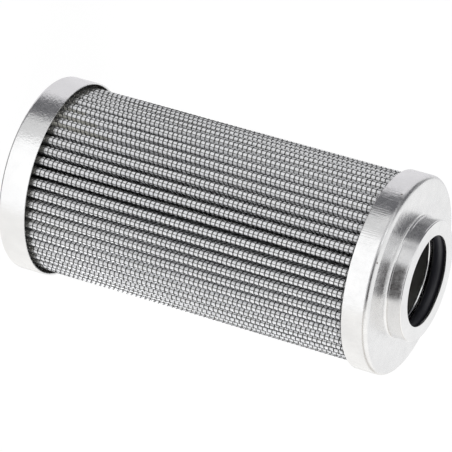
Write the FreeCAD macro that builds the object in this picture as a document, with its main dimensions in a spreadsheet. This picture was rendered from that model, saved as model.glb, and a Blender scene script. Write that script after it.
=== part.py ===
import FreeCAD, Part
import math
import os
import Sketcher

# Pleated hydraulic filter element.
# Two pressed steel end caps hold a pleated wall of fleece, filter layers and woven wire
# round a perforated centre tube. The oil leaves through the collar of the open cap.
# +Z runs along the axis from the closed cap to the open one, and the origin is the centre
# of the closed cap's outer face. Lengths are in millimetres and angles in degrees.

DIMENSIONS = [
    # Both end caps
    ("element_length", 98.7),       # closed face to the top of the collar
    ("cap_diameter", 47.0),
    ("cap_sheet", 0.6),             # thickness of the pressed sheet
    ("closed_bend", 0.2),           # inside radius of the closed cap's bend
    ("open_bend", 0.65),            # inside radius of the open cap's bend
    ("closed_skirt", 7.1),          # height of the closed cap
    ("open_skirt", 6.3),            # height of the open cap, without its collar
    # Collar that carries the seal
    ("collar_height", 4.15),
    ("collar_root", 0.8),           # outside radius at the foot of the collar
    ("lip_bend", 0.35),             # outside radius where the lip turns in
    ("lip_corner", 0.2),            # inside radius there
    ("bore_diameter", 21.5),
    ("lip_round", 0.1),             # broken edges of the bore's lip
    ("seal_bore", 21.2),            # inside diameter of the round-section seal
    ("seal_section", 3.0),
    ("seal_clearance", 0.05),
    # Stepped ring that closes the seal's groove from below
    ("retainer_sheet", 0.6),
    ("retainer_bore", 22.2),
    ("retainer_rise", 0.45),
    ("retainer_flange", 33.0),
    ("retainer_clearance", 0.1),
    # Cast adhesive in the caps
    ("bed_depth", 1.6),
    ("bed_clearance", 0.05),
    # Perforated centre tube
    ("tube_diameter", 26.9),
    ("tube_wall", 0.8),
    ("perforation", 5.0),           # diameter of each hole
    ("perforation_pitch", 8.0),     # from one row of holes to the next
    ("perforations_round", 10),     # holes in each row
    ("perforation_margin", 9.0),    # plain tube from its ends to the first holes' centres
    # Pleated wall
    ("pleats", 51),
    ("first_pleat", 1.45),          # angle of one fold's crest from +X
    ("skirt_gap", 0.45),            # between the caps' skirts and the crests, wires included
    ("pleat_width", 2.1),           # across one crest, wires included
    ("valley_gap", 0.24),           # clear width at the foot of a fold, outside
    ("pack_clearance", 0.1),        # between the folds and the centre tube
    ("wire_diameter", 0.25),
    ("wire_pitch", 1.15),           # between neighbouring lengthwise wires
    ("outer_fleece_thickness", 0.08),
    ("prefilter_thickness", 0.1),
    ("main_filter_thickness", 0.12),
    ("inner_fleece_thickness", 0.06),
    ("inner_mesh_thickness", 0.12),
    # Glued seam where the two ends of the pleated strip meet
    ("seam_pleat", 27),             # which fold holds the seam
    ("seam_depth", 4.5),
    ("seam_clearance", 0.02),
]

doc = FreeCAD.newDocument("filter_element")
sizes = doc.addObject("Spreadsheet::Sheet", "Sizes")
for row, (word, number) in enumerate(DIMENSIONS, start=1):
    sizes.set("A%d" % row, word)
    sizes.set("B%d" % row, str(number))
    sizes.setAlias("B%d" % row, word)
doc.recompute()


def size(word):
    """Value of one driving dimension."""
    return float(getattr(sizes, word))


# Expressions that several pieces share
CAP_OUT = "Sizes.cap_diameter / 2"
CAP_IN = "(Sizes.cap_diameter / 2 - Sizes.cap_sheet)"
CLOSED_BEND_OUT = "Sizes.closed_bend + Sizes.cap_sheet"
OPEN_BEND_OUT = "Sizes.open_bend + Sizes.cap_sheet"
COLLAR_IN = "(Sizes.seal_bore / 2 + Sizes.seal_section + Sizes.seal_clearance)"
COLLAR_OUT = "(%s + Sizes.cap_sheet)" % COLLAR_IN
TOP = "Sizes.element_length"
LIP_UNDER = "(Sizes.element_length - Sizes.cap_sheet)"
FACE = "(Sizes.element_length - Sizes.collar_height)"
SEAT = "(Sizes.element_length - Sizes.collar_height - Sizes.cap_sheet)"
RING_TOP = "(%s + Sizes.retainer_rise)" % SEAT
BED_TOP = "(Sizes.cap_sheet + Sizes.bed_depth)"
BED_UNDER = "(%s - Sizes.bed_depth)" % SEAT
TUBE_TOP = "(%s - Sizes.retainer_sheet)" % SEAT
BED_OUT = "(%s - Sizes.bed_clearance)" % CAP_IN
CLOSED_BED_ROUND = "Sizes.closed_bend + Sizes.bed_clearance"
OPEN_BED_ROUND = "Sizes.open_bend + Sizes.bed_clearance"


def origin_plane(body, role):
    """One of the body's own origin planes or axes, found by its role."""
    for feature in body.Origin.OriginFeatures:
        if feature.Role == role:
            return feature
    raise RuntimeError("no origin feature " + role)


def new_body(name):
    """Empty body whose label is the node's name."""
    body = doc.addObject("PartDesign::Body", name)
    body.Label = name
    return body


def new_sketch(body, name, plane):
    """Sketch flat on one of the body's origin planes."""
    sketch = body.newObject("Sketcher::SketchObject", name)
    sketch.AttachmentSupport = (origin_plane(body, plane), [""])
    sketch.MapMode = "FlatFace"
    return sketch


def bind(sketch, kind, place, expression):
    """Dimension in a sketch that takes its value from the sheet."""
    index = sketch.addConstraint(Sketcher.Constraint(kind, *place, 1.0))
    sketch.setExpression("Constraints[%d]" % index, expression)


def section_sketch(body, name, corners):
    """Closed section in the XZ plane: each corner is a radius and a height."""
    sketch = new_sketch(body, name, "XZ_Plane")
    count = len(corners)
    start = [FreeCAD.Vector(1 + i, 1 + i * i, 0) for i in range(count)]
    for i in range(count):
        sketch.addGeometry(Part.LineSegment(start[i], start[(i + 1) % count]), False)
    for i in range(count):
        sketch.addConstraint(Sketcher.Constraint("Coincident", i, 2, (i + 1) % count, 1))
    for i, (radius, height) in enumerate(corners):
        bind(sketch, "DistanceX", (-1, 1, i, 1), radius)
        bind(sketch, "DistanceY", (-1, 1, i, 1), height)
    return sketch


def circle_edges(shape, radius, height):
    """Names of the round edges of one radius at one height."""
    names = []
    for i, edge in enumerate(shape.Edges, start=1):
        curve = edge.Curve
        if isinstance(curve, Part.Circle):
            if abs(curve.Radius - radius) < 1e-4 and abs(curve.Center.z - height) < 1e-4:
                names.append("Edge%d" % i)
    return names


def round_edges(body, name, base, places, expression):
    """Fillet on the round edges found at each radius and height."""
    doc.recompute()
    names = []
    for radius, height in places:
        names += circle_edges(base.Shape, radius, height)
    fillet = body.newObject("PartDesign::Fillet", name)
    fillet.Base = (base, names)
    fillet.setExpression("Radius", expression)
    body.Tip = fillet
    return fillet


def revolved_body(name, corners):
    """Body turned about Z from a closed section."""
    body = new_body(name)
    sketch = section_sketch(body, name + "_section", corners)
    turned = body.newObject("PartDesign::Revolution", name + "_turned")
    turned.Profile = sketch
    turned.ReferenceAxis = (sketch, ["V_Axis"])
    turned.Angle = 360
    return body, turned


def make_closed_end_cap():
    """Shallow cup of pressed steel with its face down."""
    body, cup = revolved_body("closed_end_cap", [
        ("0", "0"),
        (CAP_OUT, "0"),
        (CAP_OUT, "Sizes.closed_skirt"),
        (CAP_IN, "Sizes.closed_skirt"),
        (CAP_IN, "Sizes.cap_sheet"),
        ("0", "Sizes.cap_sheet"),
    ])
    outside = size("cap_diameter") / 2
    sheet = size("cap_sheet")
    rounded = round_edges(body, "closed_cap_edge", cup, [(outside, 0)], CLOSED_BEND_OUT)
    round_edges(body, "closed_cap_corner", rounded, [(outside - sheet, sheet)], "Sizes.closed_bend")
    return body


def make_open_end_cap():
    """Cup of pressed steel with a collar drawn up from its face and a lip turned in."""
    skirt_end = "%s - Sizes.open_skirt" % FACE
    body, cup = revolved_body("open_end_cap", [
        (CAP_OUT, skirt_end),
        (CAP_OUT, FACE),
        (COLLAR_OUT, FACE),
        (COLLAR_OUT, TOP),
        ("Sizes.bore_diameter / 2", TOP),
        ("Sizes.bore_diameter / 2", LIP_UNDER),
        (COLLAR_IN, LIP_UNDER),
        (COLLAR_IN, SEAT),
        (CAP_IN, SEAT),
        (CAP_IN, skirt_end),
    ])
    sheet = size("cap_sheet")
    outside = size("cap_diameter") / 2
    inside = outside - sheet
    collar_in = size("seal_bore") / 2 + size("seal_section") + size("seal_clearance")
    collar_out = collar_in + sheet
    bore = size("bore_diameter") / 2
    top = size("element_length")
    face = top - size("collar_height")
    seat = face - sheet
    edge = round_edges(body, "open_cap_edge", cup, [(outside, face)], OPEN_BEND_OUT)
    corner = round_edges(body, "open_cap_corner", edge, [(inside, seat)], "Sizes.open_bend")
    lip = round_edges(body, "lip_edge", corner, [(collar_out, top)], "Sizes.lip_bend")
    lip_inside = round_edges(body, "lip_inner_corner", lip, [(collar_in, top - sheet)],
                             "Sizes.lip_corner")
    root = round_edges(body, "collar_root", lip_inside, [(collar_out, face)], "Sizes.collar_root")
    under = round_edges(body, "collar_root_inside", root, [(collar_in, seat)],
                        "Sizes.collar_root + Sizes.cap_sheet")
    round_edges(body, "bore_lip", under, [(bore, top), (bore, top - sheet)], "Sizes.lip_round")
    return body


def make_bore_o_ring():
    """Rubber ring of round section, held in the collar between the lip and the retainer."""
    ring = doc.addObject("Part::Torus", "bore_o_ring")
    ring.Label = "bore_o_ring"
    ring.setExpression("Radius1", "(Sizes.seal_bore + Sizes.seal_section) / 2")
    ring.setExpression("Radius2", "Sizes.seal_section / 2")
    ring.setExpression("Placement.Base.z", "(%s + %s) / 2" % (RING_TOP, LIP_UNDER))
    return ring


def make_seal_retainer():
    """Stepped ring of pressed steel: its flange lies under the cap, its step in the collar."""
    step_out = "(%s - Sizes.retainer_clearance)" % COLLAR_IN
    step_in = "(%s - Sizes.retainer_sheet)" % step_out
    step_under = "(%s - Sizes.retainer_sheet)" % RING_TOP
    body, _ = revolved_body("seal_retainer_ring", [
        ("Sizes.retainer_flange / 2", TUBE_TOP),
        ("Sizes.retainer_flange / 2", SEAT),
        (step_out, SEAT),
        (step_out, RING_TOP),
        ("Sizes.retainer_bore / 2", RING_TOP),
        ("Sizes.retainer_bore / 2", step_under),
        (step_in, step_under),
        (step_in, TUBE_TOP),
    ])
    return body


def make_closed_end_adhesive():
    """Disc of cast adhesive in the closed cap, under the tube and the folds."""
    body, disc = revolved_body("closed_end_adhesive", [
        ("0", "Sizes.cap_sheet"),
        (BED_OUT, "Sizes.cap_sheet"),
        (BED_OUT, BED_TOP),
        ("0", BED_TOP),
    ])
    rim = size("cap_diameter") / 2 - size("cap_sheet") - size("bed_clearance")
    round_edges(body, "closed_bed_rim", disc, [(rim, size("cap_sheet"))], CLOSED_BED_ROUND)
    return body


def make_open_end_adhesive():
    """Ring of cast adhesive in the open cap, round the tube and the retainer's flange."""
    tube_side = "(Sizes.tube_diameter / 2 + Sizes.bed_clearance)"
    flange_side = "(Sizes.retainer_flange / 2 + Sizes.bed_clearance)"
    body, ring = revolved_body("open_end_adhesive", [
        (tube_side, BED_UNDER),
        (BED_OUT, BED_UNDER),
        (BED_OUT, SEAT),
        (flange_side, SEAT),
        (flange_side, TUBE_TOP),
        (tube_side, TUBE_TOP),
    ])
    rim = size("cap_diameter") / 2 - size("cap_sheet") - size("bed_clearance")
    seat = size("element_length") - size("collar_height") - size("cap_sheet")
    round_edges(body, "open_bed_rim", ring, [(rim, seat)], OPEN_BED_ROUND)
    return body


def make_centre_tube():
    """Steel tube with staggered rows of round holes, plain at both ends."""
    body = new_body("perforated_centre_tube")
    section = new_sketch(body, "tube_section", "XY_Plane")
    for i, radius in enumerate(("Sizes.tube_diameter / 2",
                                "Sizes.tube_diameter / 2 - Sizes.tube_wall")):
        section.addGeometry(Part.Circle(FreeCAD.Vector(), FreeCAD.Vector(0, 0, 1), 20 - i), False)
        section.addConstraint(Sketcher.Constraint("Coincident", i, 3, -1, 1))
        bind(section, "Radius", (i,), radius)
    section.setExpression("AttachmentOffset.Base.z", BED_TOP)
    wall = body.newObject("PartDesign::Pad", "tube_wall")
    wall.Profile = section
    wall.setExpression("Length", "%s - %s" % (TUBE_TOP, BED_TOP))
    doc.recompute()

    length = size("element_length") - size("collar_height") - 2 * size("cap_sheet")
    length -= size("bed_depth") + size("retainer_sheet")
    holed = length - 2 * size("perforation_margin")
    row_pairs = int((holed / size("perforation_pitch") + 1) / 2)
    inside_wall = FreeCAD.Vector(0, 0, 3 * size("tube_wall") - size("tube_diameter") / 2)
    drills = []
    for stagger in (0, 1):
        hole = new_sketch(body, "hole_%d" % stagger, "XZ_Plane")
        hole.addGeometry(Part.Circle(FreeCAD.Vector(0, 1, 0), FreeCAD.Vector(0, 0, 1), 1), False)
        hole.addConstraint(Sketcher.Constraint("PointOnObject", 0, 3, -2))
        bind(hole, "Radius", (0,), "Sizes.perforation / 2")
        bind(hole, "DistanceY", (-1, 1, 0, 3),
             "%s + Sizes.perforation_margin + %d * Sizes.perforation_pitch" % (BED_TOP, stagger))
        turn = FreeCAD.Rotation(FreeCAD.Vector(0, 1, 0), stagger * 180 / size("perforations_round"))
        hole.AttachmentOffset = FreeCAD.Placement(turn.multVec(inside_wall), turn)
        drill = body.newObject("PartDesign::Pocket", "drill_%d" % stagger)
        drill.Profile = hole
        drill.Type = "ThroughAll"
        drills.append(drill)
        doc.recompute()
    rows = body.newObject("PartDesign::LinearPattern", "rows")
    rows.Direction = (origin_plane(body, "Z_Axis"), [""])
    rows.Occurrences = row_pairs
    rows.setExpression("Length", "%d * 2 * Sizes.perforation_pitch" % (row_pairs - 1))
    around = body.newObject("PartDesign::PolarPattern", "around")
    around.Axis = (origin_plane(body, "Z_Axis"), [""])
    around.Angle = 360
    around.setExpression("Occurrences", "Sizes.perforations_round")
    pattern = body.newObject("PartDesign::MultiTransform", "perforations")
    pattern.Originals = drills
    pattern.Transformations = [rows, around]
    pattern.Refine = False
    body.Tip = pattern
    return body


# The pleated wall. Each layer lies between two surfaces that follow the same folds, one
# inside the other. A fold is a half round at its crest, a straight leg each side, and a half
# round at its foot, and a surface at some depth has a smaller crest and a larger foot. The
# outermost surface also carries a ridge for each lengthwise wire on the crests.

LAYERS = [
    ("outer_wire_mesh", size("wire_diameter") / 2),
    ("outer_fleece", size("outer_fleece_thickness")),
    ("prefilter_layer", size("prefilter_thickness")),
    ("main_filter_layer", size("main_filter_thickness")),
    ("inner_fleece", size("inner_fleece_thickness")),
    ("inner_wire_mesh", size("inner_mesh_thickness")),
]
stack = sum(thickness for _, thickness in LAYERS)
crest_radius = (size("pleat_width") - size("wire_diameter")) / 2
foot_radius = size("valley_gap") / 2
pack_radius = size("cap_diameter") / 2 - size("cap_sheet") - size("skirt_gap")
crest_ring = pack_radius - size("wire_diameter") / 2 - crest_radius
foot_ring = size("tube_diameter") / 2 + size("pack_clearance") + foot_radius + stack
pleat_count = int(size("pleats"))
half_pitch = math.pi / pleat_count
FOOT_FLATS = 3                      # short flats that stand for the round at a fold's foot
pack_bottom = size("cap_sheet") + size("bed_depth")
pack_top = size("element_length") - size("collar_height") - size("cap_sheet") - size("bed_depth")


def polar(ring, angle, radius=0.0, direction=0.0):
    """Point at a radius and direction from a centre on a ring about the axis."""
    return FreeCAD.Vector(ring * math.cos(angle) + radius * math.cos(direction),
                          ring * math.sin(angle) + radius * math.sin(direction), pack_bottom)


def leg_direction():
    """Angle from a crest's radial line to the point where its half round meets the leg."""
    across = foot_ring * math.sin(half_pitch)
    inward = crest_ring - foot_ring * math.cos(half_pitch)
    distance = math.hypot(across, inward)
    return math.pi - math.atan2(across, inward) - math.acos((crest_radius + foot_radius) / distance)


def leg_ends(angle, depth):
    """Ends of the straight leg after a crest, for the surface at one depth."""
    lean = angle + leg_direction()
    upper = polar(crest_ring, angle, crest_radius - depth, lean)
    lower = polar(foot_ring, angle + half_pitch, -(foot_radius + depth), lean)
    return upper, lower


def mirrored(point, angle):
    """Point on the other side of the plane through the axis at one angle."""
    heading = 2 * angle - math.atan2(point.y, point.x)
    ring = math.hypot(point.x, point.y)
    return FreeCAD.Vector(ring * math.cos(heading), ring * math.sin(heading), point.z)


def foot_points(valley, depth):
    """Half round at the foot of one fold, without its ends, as short flats."""
    reach = leg_direction() - half_pitch
    step = 2 * reach / FOOT_FLATS
    return [polar(foot_ring, valley, foot_radius + depth, valley + math.pi + reach - step * i)
            for i in range(1, FOOT_FLATS)]


def plain_crest(angle, depth):
    """Half round of one crest."""
    reach = leg_direction()
    return Part.Arc(*[polar(crest_ring, angle, crest_radius - depth, angle + turn)
                      for turn in (-reach, 0, reach)]).toShape()


def wired_crest_points(angle):
    """Half round of one crest, as short flats with a ridge for each lengthwise wire."""
    half_wire = size("wire_diameter") / 2
    foot = half_wire / crest_radius
    spacing = size("wire_pitch") / crest_radius
    points = []
    for wire in (-1, 0, 1):
        middle = angle + wire * spacing
        for turn, height in ((-foot, 0), (-foot / 2, half_wire), (foot / 2, half_wire), (foot, 0)):
            points.append(polar(crest_ring, angle, crest_radius + height, middle + turn))
        if wire < 1:
            points.append(polar(crest_ring, angle, crest_radius, middle + spacing / 2))
    upper, _ = leg_ends(angle, 0)
    return [mirrored(upper, angle)] + points + [upper]


def pleated_outline(depth, with_wires=False):
    """Closed wire that follows every fold at one depth below the outer surface."""
    edges = []
    for i in range(pleat_count):
        angle = math.radians(size("first_pleat")) + 2 * half_pitch * i
        valley = angle + half_pitch
        upper, lower = leg_ends(angle, depth)
        if with_wires:
            edges += Part.makePolygon(wired_crest_points(angle)).Edges
        else:
            edges.append(plain_crest(angle, depth))
        foot = [lower] + foot_points(valley, depth) + [mirrored(lower, valley)]
        edges += Part.makePolygon([upper] + foot + [mirrored(upper, valley)]).Edges
    return Part.Wire(edges)


def make_pleated_layers():
    """One closed wall for each layer, from the outer mesh to the inner one."""
    made = []
    depth = 0.0
    for name, thickness in LAYERS:
        outer = pleated_outline(depth, with_wires=name == "outer_wire_mesh")
        depth += thickness
        face = Part.makeFace([outer, pleated_outline(depth)], "Part::FaceMakerBullseye")
        layer = doc.addObject("Part::Feature", name)
        layer.Label = name
        layer.Shape = face.extrude(FreeCAD.Vector(0, 0, pack_top - pack_bottom))
        made.append(layer)
    return made


def make_side_seam():
    """Bead of adhesive between the legs of one fold, where the strip's ends are joined."""
    angle = math.radians(size("first_pleat")) + 2 * half_pitch * int(size("seam_pleat"))
    upper, lower = leg_ends(angle, stack + size("seam_clearance"))
    end = upper + (lower - upper).normalize() * size("seam_depth")
    corners = [upper, end, mirrored(end, angle), mirrored(upper, angle), upper]
    bead = doc.addObject("Part::Feature", "side_seam_bead")
    bead.Label = "side_seam_bead"
    section = Part.Face(Part.makePolygon(corners))
    bead.Shape = section.extrude(FreeCAD.Vector(0, 0, pack_top - pack_bottom))
    return bead


pieces = [
    make_closed_end_cap(),
    make_open_end_cap(),
    make_bore_o_ring(),
    make_seal_retainer(),
    make_closed_end_adhesive(),
    make_open_end_adhesive(),
    make_centre_tube(),
    make_side_seam(),
]
pieces += make_pleated_layers()
doc.recompute()

for item in doc.Objects:
    if "Invalid" in item.State or "Error" in item.State:
        raise RuntimeError("failed: " + item.Label)

os.makedirs("parts", exist_ok=True)
for piece in pieces:
    shape = piece.Shape
    if shape.isNull() or not shape.isValid() or len(shape.Solids) != 1:
        raise RuntimeError("bad shape: " + piece.Label)
    shape.exportStep("parts/%s.step" % piece.Label)
    box = shape.BoundBox
    print("%-24s volume %9.2f  z %7.3f to %7.3f  radius %7.3f"
          % (piece.Label, shape.Volume, box.ZMin, box.ZMax, box.XMax))
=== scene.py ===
import math

import bmesh
import bpy
import numpy as np
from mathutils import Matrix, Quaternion, Vector


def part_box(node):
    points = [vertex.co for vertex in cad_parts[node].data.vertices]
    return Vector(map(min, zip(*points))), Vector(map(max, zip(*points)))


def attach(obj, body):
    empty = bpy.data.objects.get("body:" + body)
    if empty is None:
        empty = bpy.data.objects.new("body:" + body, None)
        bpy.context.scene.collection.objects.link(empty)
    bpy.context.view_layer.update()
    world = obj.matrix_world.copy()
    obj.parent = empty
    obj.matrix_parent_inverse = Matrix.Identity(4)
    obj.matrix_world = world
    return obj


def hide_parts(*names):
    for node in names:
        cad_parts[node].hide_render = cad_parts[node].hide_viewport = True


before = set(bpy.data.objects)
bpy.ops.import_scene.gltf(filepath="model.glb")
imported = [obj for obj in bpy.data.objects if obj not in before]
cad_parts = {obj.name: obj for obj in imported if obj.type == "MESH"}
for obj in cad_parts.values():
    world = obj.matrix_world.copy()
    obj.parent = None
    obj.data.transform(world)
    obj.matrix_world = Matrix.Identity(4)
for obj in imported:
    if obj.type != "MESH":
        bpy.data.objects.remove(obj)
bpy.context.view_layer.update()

# Perforated centre tube
# Sheet steel rolled to a tube and punched with round holes. It carries the folds against the
# oil's pressure, and its plating is dull. It shows only through the bore of the collar.

MM = 0.001
CLOUD_SIZE = 12.0 * MM
SMEARS_PER_CLOUD = 0.22
SMEAR_EDGES = (0.35, 0.65)
GRAIN_SIZE = 0.25 * MM
LINE_WIDTH = 0.3 * MM
LINE_SQUEEZE = 0.05
LINES_FADE = 1.5 * MM
LINES_EVERYWHERE = 1.0
SHEET_NOISE = 0.6
SPECK_SPACING = 5.0 * MM
SPECK_CORE = 0.035
SPECK_RIM = 0.06
SPECK_CLOUDS = 0.52
SPECK_COLOUR = (0.3, 0.28, 0.26, 1.0)


def feed(tree, socket, value):
    """Links a socket to another node's output, or gives it a fixed value."""
    if isinstance(value, bpy.types.NodeSocket):
        tree.links.new(value, socket)
    else:
        socket.default_value = value


def add_node(tree, kind, inputs=None, **settings):
    """New node of one kind, with its settings and its inputs, each a value or a link."""
    node = tree.nodes.new(kind)
    for name, value in settings.items():
        setattr(node, name, value)
    for name, value in (inputs or {}).items():
        feed(tree, node.inputs[name], value)
    return node


def worked_out(tree, operation, *values):
    """Result of one step of arithmetic on values or links."""
    inputs = dict(enumerate(values))
    return add_node(tree, "ShaderNodeMath", inputs, operation=operation).outputs[0]


def ramp(tree, value, start, end, shape="LINEAR"):
    """Zero before the start and one past the end, with a straight rise or a soft step between."""
    inputs = {"Value": value, "From Min": start, "From Max": end}
    return add_node(tree, "ShaderNodeMapRange", inputs, interpolation_type=shape).outputs["Result"]


def spread(tree, value, low, high):
    """Value from 0 to 1 spread linearly over a new range."""
    inputs = {"Value": value, "To Min": low, "To Max": high}
    return add_node(tree, "ShaderNodeMapRange", inputs).outputs["Result"]


def blend_colours(tree, factor, first, second):
    """Colour between two, by a factor from 0 to 1."""
    node = add_node(tree, "ShaderNodeMix", {"Factor": factor}, data_type="RGBA")
    feed(tree, node.inputs[6], first)
    feed(tree, node.inputs[7], second)
    return node.outputs[2]


def own_place(tree):
    """Object coordinates of a piece, which are its place in the frame."""
    return add_node(tree, "ShaderNodeTexCoord").outputs["Object"]


def axes_of(tree, vector):
    """X, Y and Z of a vector."""
    return add_node(tree, "ShaderNodeSeparateXYZ", {"Vector": vector}).outputs


def noise(tree, place, size, detail, roughness=0.5):
    """Noise from 0 to 1 whose lumps have about one size, given as a value or by a link."""
    inputs = {"Vector": place, "Scale": worked_out(tree, "DIVIDE", 1.0, size),
              "Detail": detail, "Roughness": roughness}
    return add_node(tree, "ShaderNodeTexNoise", inputs).outputs["Fac"]


def new_material(name):
    """Material with one Principled shader, and the tree that it stands in."""
    material = bpy.data.materials.new(name)
    material.use_nodes = True
    tree = material.node_tree
    return material, tree, tree.nodes["Principled BSDF"]


def new_group(name, sizes, results):
    """Node group whose inputs are sizes, each with its usual value, and whose outputs are
    values over the surface. Gives the group, the sizes as given and the sockets to feed."""
    group = bpy.data.node_groups.new(name, "ShaderNodeTree")
    for size, usual in sizes.items():
        socket = group.interface.new_socket(size, in_out="INPUT", socket_type="NodeSocketFloat")
        socket.default_value = usual
    for result in results:
        group.interface.new_socket(result, in_out="OUTPUT", socket_type="NodeSocketFloat")
    given = group.nodes.new("NodeGroupInput").outputs
    return group, given, group.nodes.new("NodeGroupOutput").inputs


def plating_group():
    """Surface of plated sheet: slow clouds in the bright finish, smears of handling, a fine
    grain, drawing lines along the axis, which are noise stretched along Z and fade out at a given
    height, and a few specks, which are the middles of some cells of a Voronoi pattern."""
    sizes = {"Cloud Size": CLOUD_SIZE, "Grain Size": GRAIN_SIZE, "Line Width": LINE_WIDTH,
             "Lines End": LINES_EVERYWHERE}
    results = ("Clouds", "Smears", "Grain", "Lines", "Specks")
    group, given, result = new_group("plated_sheet", sizes, results)
    place = own_place(group)
    inputs = {"Vector": place, "Scale": (1.0, 1.0, LINE_SQUEEZE)}
    along = add_node(group, "ShaderNodeMapping", inputs).outputs["Vector"]
    clouds = noise(group, place, given["Cloud Size"], detail=4.0, roughness=SHEET_NOISE)
    smear_size = worked_out(group, "MULTIPLY", given["Cloud Size"], SMEARS_PER_CLOUD)
    smears = noise(group, place, smear_size, detail=6.0, roughness=SHEET_NOISE)
    grain = noise(group, place, given["Grain Size"], detail=3.0, roughness=SHEET_NOISE)
    lines = noise(group, along, given["Line Width"], detail=2.0, roughness=SHEET_NOISE)
    below_end = worked_out(group, "SUBTRACT", given["Lines End"], axes_of(group, place)["Z"])
    drawn = ramp(group, below_end, 0.0, LINES_FADE)
    cells = add_node(group, "ShaderNodeTexVoronoi", {"Vector": place, "Scale": 1 / SPECK_SPACING})
    middles = ramp(group, cells.outputs["Distance"], SPECK_RIM, SPECK_CORE)
    some = worked_out(group, "GREATER_THAN", clouds, SPECK_CLOUDS)
    feed(group, result["Clouds"], clouds)
    feed(group, result["Smears"], ramp(group, smears, *SMEAR_EDGES))
    feed(group, result["Grain"], grain)
    feed(group, result["Lines"], worked_out(group, "MULTIPLY", lines, drawn))
    feed(group, result["Specks"], worked_out(group, "MULTIPLY", middles, some))
    return group


PLATED_SHEET = plating_group()


def plated_steel(name, dark, bright, roughness, waviness, lines, grain, **sizes):
    """Metal whose colour follows the clouds and specks and its gloss the smears. Waviness of the
    sheet, drawing lines and grain are bump, each with its own height."""
    material, tree, shader = new_material(name)
    sheet = add_node(tree, "ShaderNodeGroup", node_tree=PLATED_SHEET)
    for size, value in sizes.items():
        sheet.inputs[size.replace("_", " ").title()].default_value = value
    surface = sheet.outputs
    clean = blend_colours(tree, surface["Clouds"], dark, bright)
    specked = blend_colours(tree, surface["Specks"], clean, SPECK_COLOUR)
    feed(tree, shader.inputs["Base Color"], specked)
    feed(tree, shader.inputs["Roughness"], spread(tree, surface["Smears"], *roughness))
    shader.inputs["Metallic"].default_value = 1.0
    normal = None
    for height, distance in (("Clouds", waviness), ("Lines", lines), ("Grain", grain)):
        bump = add_node(tree, "ShaderNodeBump", {"Height": surface[height], "Distance": distance})
        if normal is not None:
            feed(tree, bump.inputs["Normal"], normal)
        normal = bump.outputs["Normal"]
    feed(tree, shader.inputs["Normal"], normal)
    return material


def dress(node, material):
    """Gives a node of the frame its material."""
    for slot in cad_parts[node].material_slots:
        slot.material = material


tube_steel = plated_steel("tube_steel", dark=(0.46, 0.46, 0.44, 1.0), bright=(0.62, 0.62, 0.6, 1.0),
                          roughness=(0.35, 0.5), waviness=0.02 * MM, lines=0.004 * MM,
                          grain=0.001 * MM)
dress("perforated_centre_tube", tube_steel)

# Inner wire mesh, inner fleece and the two glass fibre layers
# They are pleated together as one strip. The wire supports them on the side of the tube, and
# the glass fibre, coarse and then fine, holds the dirt. The caps and the outer layers hide them.

FIBRE_WIDTH = 0.03 * MM
FIBRE_SQUEEZE = 0.06
FIBRE_TURNS = ((0.3, 0.2, 0.0), (1.2, 0.9, 0.8), (2.3, 1.7, 2.1))
FIBRE_ROUGHNESS = (0.75, 0.95)
CLUMP_SIZE = 0.9 * MM
WIRE_CLOUDS = 1.5 * MM
WIRE_DARK = (0.028, 0.029, 0.032, 1.0)
WIRE_BRIGHT = (0.082, 0.084, 0.087, 1.0)
WIRE_ROUGHNESS = (0.35, 0.6)


def fibre_group():
    """Mat of fine fibres: three sets of noise, each stretched along another direction, of which
    the highest counts at each point. Its clumps are a coarser noise."""
    group, given, result = new_group("fibre_mat", {"Fibre": FIBRE_WIDTH}, ("Fibres", "Clumps"))
    place = own_place(group)
    fibres = 0.0
    for turn in FIBRE_TURNS:
        inputs = {"Vector": place, "Rotation": turn, "Scale": (1.0, 1.0, FIBRE_SQUEEZE)}
        stretched = add_node(group, "ShaderNodeMapping", inputs).outputs["Vector"]
        one_way = noise(group, stretched, given["Fibre"], detail=2.0)
        fibres = worked_out(group, "MAXIMUM", fibres, one_way)
    feed(group, result["Fibres"], fibres)
    feed(group, result["Clumps"], noise(group, place, CLUMP_SIZE, detail=3.0))
    return group


FIBRE_MAT = fibre_group()


def fibre_material(name, dark, bright, fibre, height):
    """Matt mat of fibres: colour by clumps, bump by single fibres."""
    material, tree, shader = new_material(name)
    mat = add_node(tree, "ShaderNodeGroup", {"Fibre": fibre}, node_tree=FIBRE_MAT).outputs
    feed(tree, shader.inputs["Base Color"], blend_colours(tree, mat["Clumps"], dark, bright))
    feed(tree, shader.inputs["Roughness"], spread(tree, mat["Fibres"], *FIBRE_ROUGHNESS))
    bump = add_node(tree, "ShaderNodeBump", {"Height": mat["Fibres"], "Distance": height})
    feed(tree, shader.inputs["Normal"], bump.outputs["Normal"])
    return material


def coated_wire():
    """Dark coating whose colour and gloss follow small clouds."""
    material, tree, shader = new_material("wire_dark")
    inputs = {"Cloud Size": WIRE_CLOUDS}
    clouds = add_node(tree, "ShaderNodeGroup", inputs, node_tree=PLATED_SHEET).outputs["Clouds"]
    feed(tree, shader.inputs["Base Color"], blend_colours(tree, clouds, WIRE_DARK, WIRE_BRIGHT))
    feed(tree, shader.inputs["Roughness"], spread(tree, clouds, *WIRE_ROUGHNESS))
    return material


wire_dark = coated_wire()
fleece_white = fibre_material("fleece_white", dark=(0.76, 0.765, 0.785, 1.0),
                              bright=(0.9, 0.905, 0.92, 1.0), fibre=0.03 * MM, height=0.02 * MM)
glass_fibre = fibre_material("glass_fibre", dark=(0.7, 0.69, 0.62, 1.0),
                             bright=(0.84, 0.83, 0.77, 1.0), fibre=0.02 * MM, height=0.01 * MM)
dress("inner_wire_mesh", wire_dark)
dress("inner_fleece", fleece_white)
dress("main_filter_layer", glass_fibre)
dress("prefilter_layer", glass_fibre)

# Outer fleece
# White polyester fleece, pleated with the layers under it. It is soft, so it bulges a little
# through every opening of the wire mesh and is drawn in under the wires.

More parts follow.
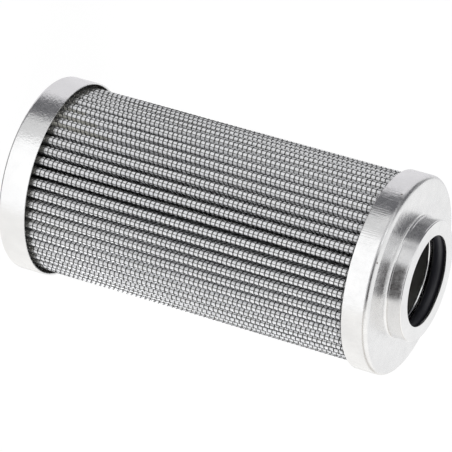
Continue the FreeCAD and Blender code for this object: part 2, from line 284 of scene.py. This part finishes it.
PLEATS = 51
FIRST_PLEAT = math.radians(1.45)
SEAM_FOLD = 27
PACK_RADIUS = 22.45 * MM
TUBE_RADIUS = 13.45 * MM
PLEAT_WIDTH = 2.1 * MM
VALLEY_GAP = 0.24 * MM
TUBE_CLEARANCE = 0.1 * MM
LAYERS_TOGETHER = 0.605 * MM
RIDGE = 0.125 * MM

# The leg of a fold is the straight line that touches the round of the crest and the round of
# the foot, which gives its lean, and with it where each stretch of the fold ends.
CREST_RADIUS = PLEAT_WIDTH / 2 - RIDGE
FOOT_RADIUS = VALLEY_GAP / 2
CREST_RING = PACK_RADIUS - RIDGE - CREST_RADIUS
FOOT_RING = TUBE_RADIUS + TUBE_CLEARANCE + FOOT_RADIUS + LAYERS_TOGETHER
HALF_FOLD = math.pi / PLEATS
ACROSS = FOOT_RING * math.sin(HALF_FOLD)
INWARD = CREST_RING - FOOT_RING * math.cos(HALF_FOLD)
ROUNDS = CREST_RADIUS + FOOT_RADIUS
LEAN = math.pi - math.atan2(ACROSS, INWARD) - math.acos(ROUNDS / math.hypot(ACROSS, INWARD))
CREST_END = CREST_RADIUS * LEAN
LEG_END = CREST_END + math.sqrt(ACROSS ** 2 + INWARD ** 2 - ROUNDS ** 2)
VALLEY = LEG_END + FOOT_RADIUS * (LEAN - HALF_FOLD)
FIRST_FOLD = SEAM_FOLD + 1 - PLEATS
pack_bottom, pack_top = (corner.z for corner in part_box("outer_fleece"))


def turned(x, y, angle):
    """Points or directions of a section, turned about the axis."""
    cosine, sine = np.cos(angle), np.sin(angle)
    return np.stack([x * cosine - y * sine, x * sine + y * cosine], -1)


def fold_surface(along, angle):
    """Point and outward normal of a fold's surface at each distance along it from the middle of
    its crest, to either side. The crest is round, the leg straight and the foot round the other
    way. The fold is worked out with its crest on +X and then turned about the axis."""
    side = np.where(along < 0, -1.0, 1.0)
    distance = np.abs(along)
    turn = np.minimum(distance / CREST_RADIUS, LEAN)
    down = np.clip(distance, CREST_END, LEG_END) - CREST_END
    x = CREST_RING + CREST_RADIUS * np.cos(turn) - down * np.sin(turn)
    y = CREST_RADIUS * np.sin(turn) + down * np.cos(turn)
    back = np.maximum(distance - LEG_END, 0.0) / FOOT_RADIUS
    facing = turn - back
    x = x + FOOT_RADIUS * (np.cos(turn) - np.cos(facing))
    y = y + FOOT_RADIUS * (np.sin(turn) - np.sin(facing))
    return turned(x, side * y, angle), turned(np.cos(facing), side * np.sin(facing), angle)


# The fleece bulges between the wires, so their places are needed here already. The bow is in
# metres to the side for each square metre of height.
RINGS = 75
RING_PITCH = 1.196 * MM
FIRST_RING = 2.666 * MM
RING_WAVE = 0.25 * MM
RING_WAVES_ROUND = 4
RING_WAVE_TURN = math.radians(1.5)
RING_WAVE_FADE = 3.5 * MM
LENGTHWISE_PITCH = 1.15 * MM
WIRES_PER_FOLD = 15.11
WIRES_BESIDE = 2
WIRE_OFFSET = 0.17 * MM
WIRE_BOW = 0.233
BOW_LEVEL = 75.0 * MM


def ring_height(ring, angle):
    """Height of a ring wire, or of a level between two: even steps, with a slow wave round the
    element that fades out under the caps."""
    level = FIRST_RING + ring * RING_PITCH
    fade = np.clip(np.minimum(level - pack_bottom, pack_top - level) / RING_WAVE_FADE, 0, 1)
    return level - RING_WAVE * fade * np.sin(RING_WAVES_ROUND * (angle + RING_WAVE_TURN))


def wire_on_crest(fold):
    """Number of the lengthwise wire nearest to the middle of a fold's crest. The wires are
    counted along the strip, and a fold takes a little more than a whole number of them."""
    return np.round(WIRES_PER_FOLD * fold)


def wire_shift(level, fold):
    """Distance of that wire from the middle of the crest. It changes from fold to fold, and the
    wires also bow: they lie furthest to one side at the bow's level, and fall back from there
    with the square of the distance."""
    step = (wire_on_crest(fold) - WIRES_PER_FOLD * fold) * LENGTHWISE_PITCH
    return step + WIRE_OFFSET - WIRE_BOW * (BOW_LEVEL - level) ** 2


def mesh_lines(rings, first, count, per_wire):
    """Distance along the folds of every column of points, at every level: columns in step with
    the lengthwise wires over the crest, then the foot and the valley. Gives too the place of
    each column in wires from the crest (none beyond the crest) and the number of its fold."""
    places = np.arange(-WIRES_BESIDE * per_wire, WIRES_BESIDE * per_wire + 1) / per_wire
    one = np.concatenate([[-LEG_END], places * LENGTHWISE_PITCH, [LEG_END, VALLEY]])
    place = np.concatenate([[np.nan], places, [np.nan, np.nan]])
    fold = np.repeat(np.arange(first, first + count), len(one))
    level = FIRST_RING + rings[:, None] * RING_PITCH
    place = np.tile(place, count)
    moves = np.where(np.isnan(place), 0.0, wire_shift(level, fold[None, :]))
    return np.tile(one, count)[None, :] + moves, place, fold


def lattice(rings, first, count, per_wire):
    """Points, normals and heights of the folds' surface where levels and columns cross."""
    along, place, fold = mesh_lines(rings, first, count, per_wire)
    points, outward = fold_surface(along, FIRST_PLEAT + 2 * HALF_FOLD * fold[None, :])
    height = ring_height(rings[:, None], np.arctan2(points[..., 1], points[..., 0]))
    return points, outward, height, place, fold


def with_height(flat, height):
    """Points or directions in a plane, each with its height as a third coordinate."""
    return np.concatenate([flat, height[..., None]], -1)


def grid_faces(rows, columns, wrap_rows=False, wrap_columns=False):
    """Quads of a grid of points, numbered row after row, that may close on itself."""
    row = np.arange(rows if wrap_rows else rows - 1)[:, None]
    column = np.arange(columns if wrap_columns else columns - 1)[None, :]
    next_row = (row + 1) % rows
    next_column = (column + 1) % columns
    corners = [row * columns + column, row * columns + next_column,
               next_row * columns + next_column, next_row * columns + column]
    return np.stack(corners, -1).reshape(-1, 4)


def surface_mesh(name, points, faces):
    """Mesh object from an array of points and a list of faces, smooth all over."""
    mesh = bpy.data.meshes.new(name)
    mesh.from_pydata(points.reshape(-1, 3), [], faces)
    mesh.polygons.foreach_set("use_smooth", np.ones(len(mesh.polygons), dtype=bool))
    piece = bpy.data.objects.new(name, mesh)
    bpy.context.scene.collection.objects.link(piece)
    return piece


def finish_piece(piece, material, slot, *nodes):
    """Material and body of a new piece, and the nodes that it stands for. Its slot is not used."""
    piece.data.materials.append(material)
    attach(piece, "root")
    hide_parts(*nodes)


FLEECE_UNDER_WIRES = 0.19 * MM
FLEECE_PROUD = 0.09 * MM
FLEECE_BACK = 0.2 * MM
FLEECE_FULLNESS = (0.8, 1.0)
BULGE_POWER = 0.6
LEVELS_PER_RING = 3
COLUMNS_PER_WIRE = 2
# Painted shade beside the caps' rims, standing in part for adhesive drawn up into the fleece: the
# dark band's colour, middle, reach, slant, soft edge and waves. The slant is painted shade alone.
SOAKED_AND_SHADED_COLOUR = (0.11, 0.108, 0.1, 1.0)
SOAKED_AND_SHADED_MIDDLE = 47.8 * MM
SOAKED_AND_SHADED_REACH = 39.9 * MM
PAINTED_SHADE_SLOPE = 0.015
SOAKED_AND_SHADED_EDGE = 1.2 * MM
SOAKED_AND_SHADED_WAVES = 2.5 * MM
chance = np.random.default_rng(31)


def bulge(steps):
    """Rise of the fleece between two wires: a flattened half sine, zero under each wire."""
    return np.abs(np.sin(math.pi * steps)) ** BULGE_POWER


def fleece_part(name, first, count):
    """Closed sheet over a run of folds. Its front stands a little proud in the middle of each
    opening of the mesh and lies deepest under the wires. Its back is plain, and both ends lie in
    valleys."""
    rings = np.arange(-1, LEVELS_PER_RING * (RINGS - 1) + 2) / LEVELS_PER_RING
    points, outward, height, place, _ = lattice(rings, first, count, COLUMNS_PER_WIRE)
    height[0], height[-1] = pack_bottom, pack_top
    fullness = chance.uniform(*FLEECE_FULLNESS, height.shape)
    rise = bulge(rings)[:, None] * bulge(np.nan_to_num(place))[None, :] * fullness
    depth = FLEECE_UNDER_WIRES * (1 - rise) - FLEECE_PROUD * rise
    front = with_height(points - depth[..., None] * outward, height)
    back = with_height(points - FLEECE_BACK * outward, height)
    shell = np.concatenate([front, back[[-1, 0]]])
    rows, columns = shell.shape[:2]
    start = np.arange(rows) * columns
    faces = grid_faces(rows, columns, wrap_rows=True).tolist()
    faces += [start[::-1].tolist(), (start + columns - 1).tolist()]
    piece = surface_mesh(name, shell, faces)
    finish_piece(piece, fleece_with_shade_and_adhesive, "fleece", "outer_fleece")


def make_soaked_and_shaded_fleece():
    """White fleece that is darker beside both caps. This is painted shade where the caps' rims
    shade the folds, and in part adhesive drawn up into the fleece.
    It is darker beyond a reach to either side of its middle, and the edge there is soft, wavy and a
    little aslant. The slant is painted shade."""
    material = fleece_white.copy()
    material.name = "fleece_shaded_and_soaked_at_ends"
    tree = material.node_tree
    shader = tree.nodes["Principled BSDF"]
    place = own_place(tree)
    axes = axes_of(tree, place)
    slanted = worked_out(tree, "MULTIPLY_ADD", axes["Y"], PAINTED_SHADE_SLOPE, axes["Z"])
    from_middle = worked_out(tree, "SUBTRACT", slanted, SOAKED_AND_SHADED_MIDDLE)
    distance = worked_out(tree, "ABSOLUTE", from_middle)
    waves = noise(tree, place, SOAKED_AND_SHADED_WAVES, detail=2.0)
    edge = worked_out(tree, "MULTIPLY_ADD", waves, SOAKED_AND_SHADED_EDGE, distance)
    # Where the fleece takes the dark colour: painted shade beside the caps, in part adhesive in the
    # fleece.
    soaked_and_shaded = ramp(tree, edge, SOAKED_AND_SHADED_REACH, SOAKED_AND_SHADED_REACH + SOAKED_AND_SHADED_EDGE, "SMOOTHSTEP")
    dry_colour = shader.inputs["Base Color"].links[0].from_socket
    feed(tree, shader.inputs["Base Color"], blend_colours(tree, soaked_and_shaded, dry_colour, SOAKED_AND_SHADED_COLOUR))
    return material


# Fleece with painted shade beside both caps, in part adhesive drawn up into it.
fleece_with_shade_and_adhesive = make_soaked_and_shaded_fleece()
fleece_part("outer_fleece_first_folds", FIRST_FOLD, PLEATS // 2)
fleece_part("outer_fleece_last_folds", FIRST_FOLD + PLEATS // 2, PLEATS - PLEATS // 2)

# Outer wire mesh
# Plain weave of dark coated steel wire, pleated over the fleece. Thicker wires follow the folds
# round the element, over and under thinner ones that run from cap to cap.

RING_WIRE = 0.26 * MM
LENGTHWISE_WIRE = 0.15 * MM
WEAVE = 0.05 * MM
MESH_DEPTH = 0.1 * MM
RING_SIDES = 4
LENGTHWISE_SIDES = 3
RING_BANDS = 4
BENDS_PER_WIRE = 3


def over_or_under(ring, fold, place):
    """One where the ring wire passes over a lengthwise wire and minus one where under."""
    return 1.0 - 2.0 * ((ring + wire_on_crest(fold) + place) % 2)


def round_section(first, second, diameter, sides):
    """Points round a wire's centre, in the plane of two directions, for every centre."""
    turn = 2 * math.pi * np.arange(sides) / sides
    return diameter / 2 * (np.cos(turn)[:, None] * first[..., None, :]
                           + np.sin(turn)[:, None] * second[..., None, :])


def numbered_on(faces, firsts):
    """Faces of one wire, repeated with the numbers that each wire's points start from."""
    return (faces[None] + firsts[:, None, None]).reshape(-1, 4).tolist()


def ring_wires(name, rings):
    """Closed wires round all folds. The centre of each swings over and under the lengthwise
    wires as a cosine, and its section lies in the plane of the surface's normal and the axis."""
    points, outward, height, place, fold = lattice(rings, FIRST_FOLD, PLEATS, BENDS_PER_WIRE)
    woven = np.where(np.isnan(place), 0.0, np.cos(math.pi * np.nan_to_num(place)))
    swing = WEAVE * woven * over_or_under(rings[:, None], fold[None, :], 0)
    centre = with_height(points - (MESH_DEPTH - swing)[..., None] * outward, height)
    normal = with_height(outward, np.zeros(height.shape))
    downward = np.broadcast_to([0.0, 0.0, -1.0], normal.shape)
    tube = centre[:, :, None] + round_section(normal, downward, RING_WIRE, RING_SIDES)
    columns = height.shape[1]
    one = grid_faces(columns, RING_SIDES, wrap_rows=True, wrap_columns=True)
    firsts = np.arange(len(rings)) * columns * RING_SIDES
    piece = surface_mesh(name, tube, numbered_on(one, firsts))
    finish_piece(piece, wire_dark, "mesh_wire", "outer_wire_mesh")


def lengthwise_wires(name):
    """Wires from cap to cap, five on each crest. Each bends where it crosses a ring wire, to the
    other side of the weave's middle than that wire does, and is closed at both ends."""
    rings = np.arange(RINGS)
    points, outward, height, place, fold = lattice(rings, FIRST_FOLD, PLEATS, per_wire=1)
    height[0], height[-1] = pack_bottom, pack_top
    wires = ~np.isnan(place)
    points, outward, height = points[:, wires], outward[:, wires], height[:, wires]
    swing = WEAVE * over_or_under(rings[:, None], fold[wires][None, :], place[wires][None, :])
    centre = with_height(points - (MESH_DEPTH + swing)[..., None] * outward, height)
    level = np.zeros(height.shape)
    normal = with_height(outward, level)
    sideways = with_height(np.stack([-outward[..., 1], outward[..., 0]], -1), level)
    tube = centre[:, :, None] + round_section(normal, sideways, LENGTHWISE_WIRE, LENGTHWISE_SIDES)
    tube = tube.transpose(1, 0, 2, 3)
    one = grid_faces(RINGS, LENGTHWISE_SIDES, wrap_columns=True)
    firsts = np.arange(len(tube)) * RINGS * LENGTHWISE_SIDES
    rim = np.arange(LENGTHWISE_SIDES)
    last = (RINGS - 1) * LENGTHWISE_SIDES
    ends = (firsts[:, None] + rim[::-1]).tolist() + (firsts[:, None] + last + rim).tolist()
    piece = surface_mesh(name, tube, numbered_on(one, firsts) + ends)
    finish_piece(piece, wire_dark, "mesh_wire", "outer_wire_mesh")


for number, rings in enumerate(np.array_split(np.arange(RINGS), RING_BANDS), start=1):
    ring_wires("outer_mesh_rings_%d" % number, rings)
lengthwise_wires("outer_mesh_lengthwise")

# Side seam and the cast adhesive in both caps
# The two ends of the pleated strip are glued in one fold. The caps are filled with the same
# two-part adhesive, which seals the ends of the folds and holds the tube.

MOTTLE_SIZE = 2.0 * MM


def mottle_group():
    """Mottle of a cast or moulded surface: one noise with lumps of a given size."""
    group, given, result = new_group("mottle", {"Mottle Size": MOTTLE_SIZE}, ("Mottle",))
    mottle = noise(group, own_place(group), given["Mottle Size"], detail=4.0)
    feed(group, result["Mottle"], mottle)
    return group


MOTTLE = mottle_group()


def mottled_material(name, size, dark, bright, roughness):
    """Cast or moulded material whose colour and gloss follow its mottle."""
    material, tree, shader = new_material(name)
    inputs = {"Mottle Size": size}
    mottle = add_node(tree, "ShaderNodeGroup", inputs, node_tree=MOTTLE).outputs["Mottle"]
    feed(tree, shader.inputs["Base Color"], blend_colours(tree, mottle, dark, bright))
    feed(tree, shader.inputs["Roughness"], spread(tree, mottle, *roughness))
    return material


adhesive = mottled_material("adhesive", size=MOTTLE_SIZE, dark=(0.25, 0.23, 0.2, 1.0),
                            bright=(0.38, 0.36, 0.32, 1.0), roughness=(0.3, 0.5))
for node in ("side_seam_bead", "closed_end_adhesive", "open_end_adhesive"):
    dress(node, adhesive)

# End caps
# Cups of bright plated sheet steel, deep drawn. The closed one covers the far end. The open
# one has a drawn collar with its lip turned in, which holds the seal.

CAP_RADIUS = 23.5 * MM
CAP_SHEET = 0.6 * MM
CLOSED_BEND = 0.8 * MM
OPEN_BEND = 1.25 * MM
OPEN_FACE = 94.55 * MM
COLLAR_RADIUS = 14.25 * MM
COLLAR_FLARE = 0.09 * MM
COLLAR_ROOT = 0.8 * MM
LIP_BEND = 0.35 * MM
LIP_CORNER = 0.2 * MM
BORE_RADIUS = 10.75 * MM
BROKEN_EDGE = 0.1 * MM
WORN_EDGE = 0.4 * MM
HAIR = 0.03 * MM
TOUCHING = 0.001 * MM
CAP_STEPS = 256
CAP_DARK = (0.71, 0.71, 0.715, 1.0)
CAP_BRIGHT = (0.89, 0.89, 0.89, 1.0)
SATIN_EDGE = 0.6 * MM
SATIN_ROUGHNESS = 0.1
closed_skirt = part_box("closed_end_cap")[1].z
open_skirt, collar_top = (corner.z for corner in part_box("open_end_cap"))


def bend(radius, height, bend_radius, start, turn=-90, points=7):
    """Arc in a profile about a centre, from one direction in degrees on through a turn."""
    angle = np.radians(start + turn * np.linspace(0, 1, points))
    round_points = bend_radius * np.stack([np.cos(angle), np.sin(angle)], -1)
    return np.array([radius, height]) + round_points


def run(*ends):
    """Straight run of a profile, drawn in by a hair at both ends, so that it shades flat up to
    the bends."""
    first, second = np.array(ends)
    hair = HAIR * (second - first) / np.hypot(*(second - first))
    return np.stack([first + hair, second - hair])


def turned_ring(name, profile, steps):
    """Surface turned about the axis from a closed profile of radii and heights, which runs
    downwards on its outer side. Points on the axis are merged to one."""
    angle = 2 * math.pi * np.arange(steps)[:, None] / steps
    radius, height = profile[:, 0][None], profile[:, 1][None]
    points = np.stack([radius * np.cos(angle), radius * np.sin(angle), height + 0 * angle], -1)
    faces = grid_faces(steps, len(profile), wrap_rows=True, wrap_columns=True)
    ring = surface_mesh(name, points, faces.tolist())
    merged = bmesh.new()
    merged.from_mesh(ring.data)
    bmesh.ops.remove_doubles(merged, verts=merged.verts, dist=TOUCHING)
    loose = [edge for edge in merged.edges if not edge.link_faces]
    bmesh.ops.delete(merged, geom=loose, context="EDGES")
    merged.to_mesh(ring.data)
    merged.free()
    return ring


# Down the outside of the skirt, round to the face and its middle, then back inside to the rim.
inside = CAP_RADIUS - CAP_SHEET
closed_profile = np.concatenate([
    run((CAP_RADIUS, closed_skirt - BROKEN_EDGE), (CAP_RADIUS, CLOSED_BEND)),
    bend(CAP_RADIUS - CLOSED_BEND, CLOSED_BEND, CLOSED_BEND, 0),
    run((CAP_RADIUS - CLOSED_BEND, 0), (0, 0)), [(0, 0), (0, CAP_SHEET)],
    run((0, CAP_SHEET), (CAP_RADIUS - CLOSED_BEND, CAP_SHEET)),
    bend(CAP_RADIUS - CLOSED_BEND, CLOSED_BEND, CLOSED_BEND - CAP_SHEET, 270, 90),
    run((inside, CLOSED_BEND), (inside, closed_skirt - WORN_EDGE)),
    bend(inside + WORN_EDGE, closed_skirt - WORN_EDGE, WORN_EDGE, 180),
    bend(CAP_RADIUS - BROKEN_EDGE, closed_skirt - BROKEN_EDGE, BROKEN_EDGE, 90),
])

# From the lip down the collar, over the face and down the skirt, then back inside to the bore.
# The collar's wall leans outwards by the flare to each side of its plain radius, and the two
# rounds that it joins turn further by as much.
collar_inside = COLLAR_RADIUS - CAP_SHEET
seat = OPEN_FACE - CAP_SHEET
lip_under = collar_top - CAP_SHEET
root = (COLLAR_RADIUS - COLLAR_FLARE + COLLAR_ROOT, OPEN_FACE + COLLAR_ROOT)
lip = (COLLAR_RADIUS + COLLAR_FLARE - LIP_BEND, collar_top - LIP_BEND)
flare_turn = math.degrees(math.atan2(2 * COLLAR_FLARE, lip[1] - root[1]))
lip_round = bend(*lip, LIP_BEND, 90, -90 - flare_turn)
root_round = bend(*root, COLLAR_ROOT, 180 - flare_turn, 90 + flare_turn)
open_profile = np.concatenate([
    run((BORE_RADIUS + BROKEN_EDGE, collar_top), (lip[0], collar_top)),
    lip_round, run(lip_round[-1], root_round[0]), root_round,
    run((root[0], OPEN_FACE), (CAP_RADIUS - OPEN_BEND, OPEN_FACE)),
    bend(CAP_RADIUS - OPEN_BEND, OPEN_FACE - OPEN_BEND, OPEN_BEND, 90),
    run((CAP_RADIUS, OPEN_FACE - OPEN_BEND), (CAP_RADIUS, open_skirt + BROKEN_EDGE)),
    bend(CAP_RADIUS - BROKEN_EDGE, open_skirt + BROKEN_EDGE, BROKEN_EDGE, 0),
    bend(inside + BROKEN_EDGE, open_skirt + BROKEN_EDGE, BROKEN_EDGE, 270),
    run((inside, open_skirt + BROKEN_EDGE), (inside, OPEN_FACE - OPEN_BEND)),
    bend(CAP_RADIUS - OPEN_BEND, OPEN_FACE - OPEN_BEND, OPEN_BEND - CAP_SHEET, 0, 90),
    run((CAP_RADIUS - OPEN_BEND, seat), (root[0], seat)),
    bend(*root, COLLAR_ROOT + CAP_SHEET, 270),
    run((collar_inside - COLLAR_FLARE, root[1]), (collar_inside, lip_under - LIP_CORNER)),
    bend(collar_inside - LIP_CORNER, lip_under - LIP_CORNER, LIP_CORNER, 0, 90),
    run((collar_inside - LIP_CORNER, lip_under), (BORE_RADIUS + BROKEN_EDGE, lip_under)),
    bend(BORE_RADIUS + BROKEN_EDGE, lip_under + BROKEN_EDGE, BROKEN_EDGE, 270),
    bend(BORE_RADIUS + BROKEN_EDGE, collar_top - BROKEN_EDGE, BROKEN_EDGE, 180),
])


def band(tree, value, low, high, edge):
    """One between two values and zero outside, with a soft step of a given width at each."""
    rise = ramp(tree, value, low - edge / 2, low + edge / 2, "SMOOTHSTEP")
    fall = ramp(tree, value, high - edge / 2, high + edge / 2, "SMOOTHSTEP")
    return worked_out(tree, "SUBTRACT", rise, fall)


def satin_face(material):
    """Rougher finish on the open cap's face and round its two bends, which the die doesn't
    burnish as it does the drawn walls."""
    tree = material.node_tree
    roughness = tree.nodes["Principled BSDF"].inputs["Roughness"]
    height = axes_of(tree, own_place(tree))["Z"]
    satin = band(tree, height, OPEN_FACE - OPEN_BEND, OPEN_FACE + COLLAR_ROOT / 2, SATIN_EDGE)
    finish = roughness.links[0].from_socket
    feed(tree, roughness, worked_out(tree, "MULTIPLY_ADD", satin, SATIN_ROUGHNESS, finish))


closed_cap_steel = plated_steel("closed_cap_steel", CAP_DARK, CAP_BRIGHT, roughness=(0.1, 0.22),
                                waviness=0.01 * MM, lines=0.002 * MM, grain=0.055 * MM,
                                grain_size=0.6 * MM)
open_cap_steel = plated_steel("open_cap_steel", CAP_DARK, CAP_BRIGHT, roughness=(0.12, 0.25),
                              waviness=0.018 * MM, lines=0.035 * MM, grain=0.0,
                              cloud_size=5.0 * MM, lines_end=OPEN_FACE - OPEN_BEND)
satin_face(open_cap_steel)
closed_cap = turned_ring("closed_cap", closed_profile, CAP_STEPS)
finish_piece(closed_cap, closed_cap_steel, "cap_steel", "closed_end_cap")
open_cap = turned_ring("open_cap", open_profile, CAP_STEPS)
finish_piece(open_cap, open_cap_steel, "cap_steel", "open_end_cap")

# Seal retainer
# Stepped ring of pressed steel. Its flange lies under the cap in the adhesive, and its step
# closes the seal's groove from below. Its bore is rounded from above by the press and shines.

RETAINER_FLANGE = 16.5 * MM
RETAINER_BORE = 11.1 * MM
RETAINER_SHEET = 0.6 * MM
RETAINER_STEP = 13.55 * MM
RETAINER_EDGE = 0.5 * MM
RING_STEPS = 160
retainer_foot, retainer_top = (corner.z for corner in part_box("seal_retainer_ring"))
flange_top = retainer_foot + RETAINER_SHEET
step_inside = RETAINER_STEP - RETAINER_SHEET
step_under = retainer_top - RETAINER_SHEET
retainer_profile = np.concatenate([
    run((RETAINER_BORE + RETAINER_EDGE, retainer_top), (RETAINER_STEP, retainer_top)),
    run((RETAINER_STEP, retainer_top), (RETAINER_STEP, flange_top)),
    run((RETAINER_STEP, flange_top), (RETAINER_FLANGE, flange_top)),
    run((RETAINER_FLANGE, flange_top), (RETAINER_FLANGE, retainer_foot)),
    run((RETAINER_FLANGE, retainer_foot), (step_inside, retainer_foot)),
    run((step_inside, retainer_foot), (step_inside, step_under)),
    run((step_inside, step_under), (RETAINER_BORE + BROKEN_EDGE, step_under)),
    bend(RETAINER_BORE + BROKEN_EDGE, step_under + BROKEN_EDGE, BROKEN_EDGE, 270),
    bend(RETAINER_BORE + RETAINER_EDGE, retainer_top - RETAINER_EDGE, RETAINER_EDGE, 180),
])
retainer_steel = plated_steel("retainer_steel", dark=(0.77, 0.77, 0.775, 1.0),
                              bright=(0.83, 0.83, 0.83, 1.0), roughness=(0.1, 0.18),
                              waviness=0.005 * MM, lines=0.001 * MM, grain=0.0)
retainer = turned_ring("seal_retainer", retainer_profile, RING_STEPS)
finish_piece(retainer, retainer_steel, "cap_steel", "seal_retainer_ring")

# Seal ring
# Moulded ring of black nitrile rubber, round in section. It lies in the groove between the
# lip of the collar and the retainer, and its rubber is smooth with a faint mottle.

SEAL_RADIUS = 12.1 * MM
SEAL_SECTION = 3.0 * MM
SEAL_SIDES = 32

rubber = mottled_material("seal_rubber", size=0.3 * MM, dark=(0.012, 0.012, 0.016, 1.0),
                          bright=(0.024, 0.024, 0.03, 1.0), roughness=(0.35, 0.5))
seal_low, seal_high = (corner.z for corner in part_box("bore_o_ring"))
seal_middle = (seal_low + seal_high) / 2
seal_profile = bend(SEAL_RADIUS, seal_middle, SEAL_SECTION / 2, 90, -360, SEAL_SIDES + 1)[:-1]
seal = turned_ring("seal_ring", seal_profile, RING_STEPS)
finish_piece(seal, rubber, "seal_rubber", "bore_o_ring")

# Floor
# Wide white table on which the element stands. The camera sees it white, with a faint shadow,
# and gloss sees the tent below instead of it.

FLOOR_REACH = 3.0
FLOOR_WHITE = (0.85, 0.85, 0.85, 1.0)
FLOOR_SHINE = 1.03
FLOOR_SHINE_SHARE = 0.93


def floor_surface():
    """White paint that shines a little more than it is lit, for rays from the camera only."""
    material = bpy.data.materials.new("floor_white")
    material.use_nodes = True
    tree = material.node_tree
    tree.nodes.clear()
    seen = add_node(tree, "ShaderNodeLightPath").outputs["Is Camera Ray"]
    share = worked_out(tree, "MULTIPLY", seen, FLOOR_SHINE_SHARE)
    paint = add_node(tree, "ShaderNodeBsdfDiffuse", {"Color": FLOOR_WHITE}).outputs[0]
    shine = add_node(tree, "ShaderNodeEmission", {"Strength": FLOOR_SHINE}).outputs[0]
    mixed = add_node(tree, "ShaderNodeMixShader", {0: share, 1: paint, 2: shine}).outputs[0]
    add_node(tree, "ShaderNodeOutputMaterial", {"Surface": mixed})
    return material


floor_corners = [(-FLOOR_REACH, -FLOOR_REACH, 0.0), (FLOOR_REACH, -FLOOR_REACH, 0.0),
                 (FLOOR_REACH, FLOOR_REACH, 0.0), (-FLOOR_REACH, FLOOR_REACH, 0.0)]
floor_mesh = bpy.data.meshes.new("floor")
floor_mesh.from_pydata(floor_corners, [], [(0, 1, 2, 3)])
floor_mesh.materials.append(floor_surface())
floor = bpy.data.objects.new("floor", floor_mesh)
bpy.context.scene.collection.objects.link(floor)
floor.visible_glossy = False

# Light
# A white tent with soft lamps outside it. Polished metal shows the tent itself, with its grey
# seams and the dark opening that the camera looks through.

ROOM_LEVEL = 0.54
TENT_LEVEL = 1.0
TENT_SEAM = math.radians(6.0)
LAMP_AIM = Vector((0.0, 0.0, 0.047))

# Each panel has its azimuths, its elevations, both in degrees, and its colour. A later panel
# covers an earlier one.
TENT_PANELS = (
    ((-185, -92), (-95, 6), (0.84, 0.83, 0.85)),
    ((-92, -60), (-95, 8), (0.16, 0.16, 0.17)),
    ((-58, -31), (-95, 4), (0.78, 0.78, 0.78)),
    ((-31, 55), (-95, -4), (1.25, 1.25, 1.25)),
    ((55, 185), (-95, 4), (1.08, 1.07, 1.05)),
    ((-185, 185), (-95, -62), (0.35, 0.35, 0.35)),
    ((166, 200), (-50, 2), (0.8, 0.8, 0.79)),
    ((-56, 51), (-6, 50), (0.5, 0.5, 0.51)),
    ((51, 150), (-8, 10), (0.72, 0.69, 0.65)),
    ((-13, 51), (12, 38), (0.012, 0.006, 0.005)),
    ((53, 150), (11, 60), (1.18, 1.17, 1.15)),
    ((-50, -18), (12, 46), (1.15, 1.15, 1.15)),
    ((-125, -66), (8, 50), (0.15, 0.15, 0.16)),
    ((-153, -125), (12, 40), (0.3, 0.3, 0.31)),
)


def tent_colour(tree):
    """Colour of the tent in every direction: panels by azimuth and elevation on a white ground."""
    axes = axes_of(tree, add_node(tree, "ShaderNodeTexCoord").outputs["Generated"])
    azimuth = worked_out(tree, "ARCTAN2", axes["Y"], axes["X"])
    elevation = worked_out(tree, "ARCSINE", axes["Z"])
    colour = (TENT_LEVEL, TENT_LEVEL, TENT_LEVEL, 1.0)
    for sides, heights, shade in TENT_PANELS:
        beside = band(tree, azimuth, *np.radians(sides), TENT_SEAM)
        above = band(tree, elevation, *np.radians(heights), TENT_SEAM)
        panel = worked_out(tree, "MULTIPLY", beside, above)
        colour = blend_colours(tree, panel, colour, (*shade, 1.0))
    return colour


def studio_world():
    """White where the camera looks, the tent in gloss, and elsewhere the level of the room."""
    world = bpy.data.worlds.new("studio")
    world.use_nodes = True
    room = world.node_tree
    room.nodes.clear()
    rays = add_node(room, "ShaderNodeLightPath").outputs
    straight = worked_out(room, "MAXIMUM", rays["Is Camera Ray"], rays["Is Transmission Ray"])
    plain = (ROOM_LEVEL, ROOM_LEVEL, ROOM_LEVEL, 1.0)
    lit = blend_colours(room, rays["Is Glossy Ray"], plain, tent_colour(room))
    seen = blend_colours(room, straight, lit, (1.0, 1.0, 1.0, 1.0))
    sky = add_node(room, "ShaderNodeBackground", {"Color": seen}).outputs[0]
    add_node(room, "ShaderNodeOutputWorld", {"Surface": sky})
    return world


def soft_lamp(name, place, width, watts):
    """Square area lamp that faces the element and doesn't show in its gloss."""
    data = bpy.data.lights.new(name, "AREA")
    data.size = width
    data.energy = watts
    lamp = bpy.data.objects.new(name, data)
    lamp.location = place
    lamp.rotation_mode = "QUATERNION"
    lamp.rotation_quaternion = (lamp.location - LAMP_AIM).to_track_quat("Z", "Y")
    lamp.visible_glossy = False
    bpy.context.scene.collection.objects.link(lamp)


bpy.context.scene.world = studio_world()
soft_lamp("lamp_below", place=(-0.25, 0.75, 0.12), width=0.8, watts=9.4)
soft_lamp("lamp_above", place=(0.4, -0.7, 0.3), width=0.6, watts=0.9)
soft_lamp("lamp_front", place=(0.8, 0.1, 0.5), width=0.5, watts=2.5)

# Camera
# Long lens, aimed at the middle of the element and rolled so that it seems to lie. Its place
# was fitted to the caps, the collar and the folds.

AIM = Vector((0.0, 0.0006, 0.0477))
CAMERA_PLACE = Vector((0.7159, 0.0, 0.3403))
CAMERA_ROLL = math.radians(106.08)
LENS = 265.6
SENSOR = 36.0
NEAREST = 0.01

camera_data = bpy.data.cameras.new("camera")
camera_data.lens = LENS
camera_data.sensor_width = SENSOR
camera_data.clip_start = NEAREST
camera = bpy.data.objects.new("camera", camera_data)
camera.location = CAMERA_PLACE
camera.rotation_mode = "QUATERNION"
level_view = (CAMERA_PLACE - AIM).to_track_quat("Z", "Y")
camera.rotation_quaternion = level_view @ Quaternion((0.0, 0.0, 1.0), CAMERA_ROLL)
bpy.context.scene.collection.objects.link(camera)
bpy.context.scene.camera = camera
bpy.context.scene.view_settings.view_transform = "Standard"
bpy.context.view_layer.update()
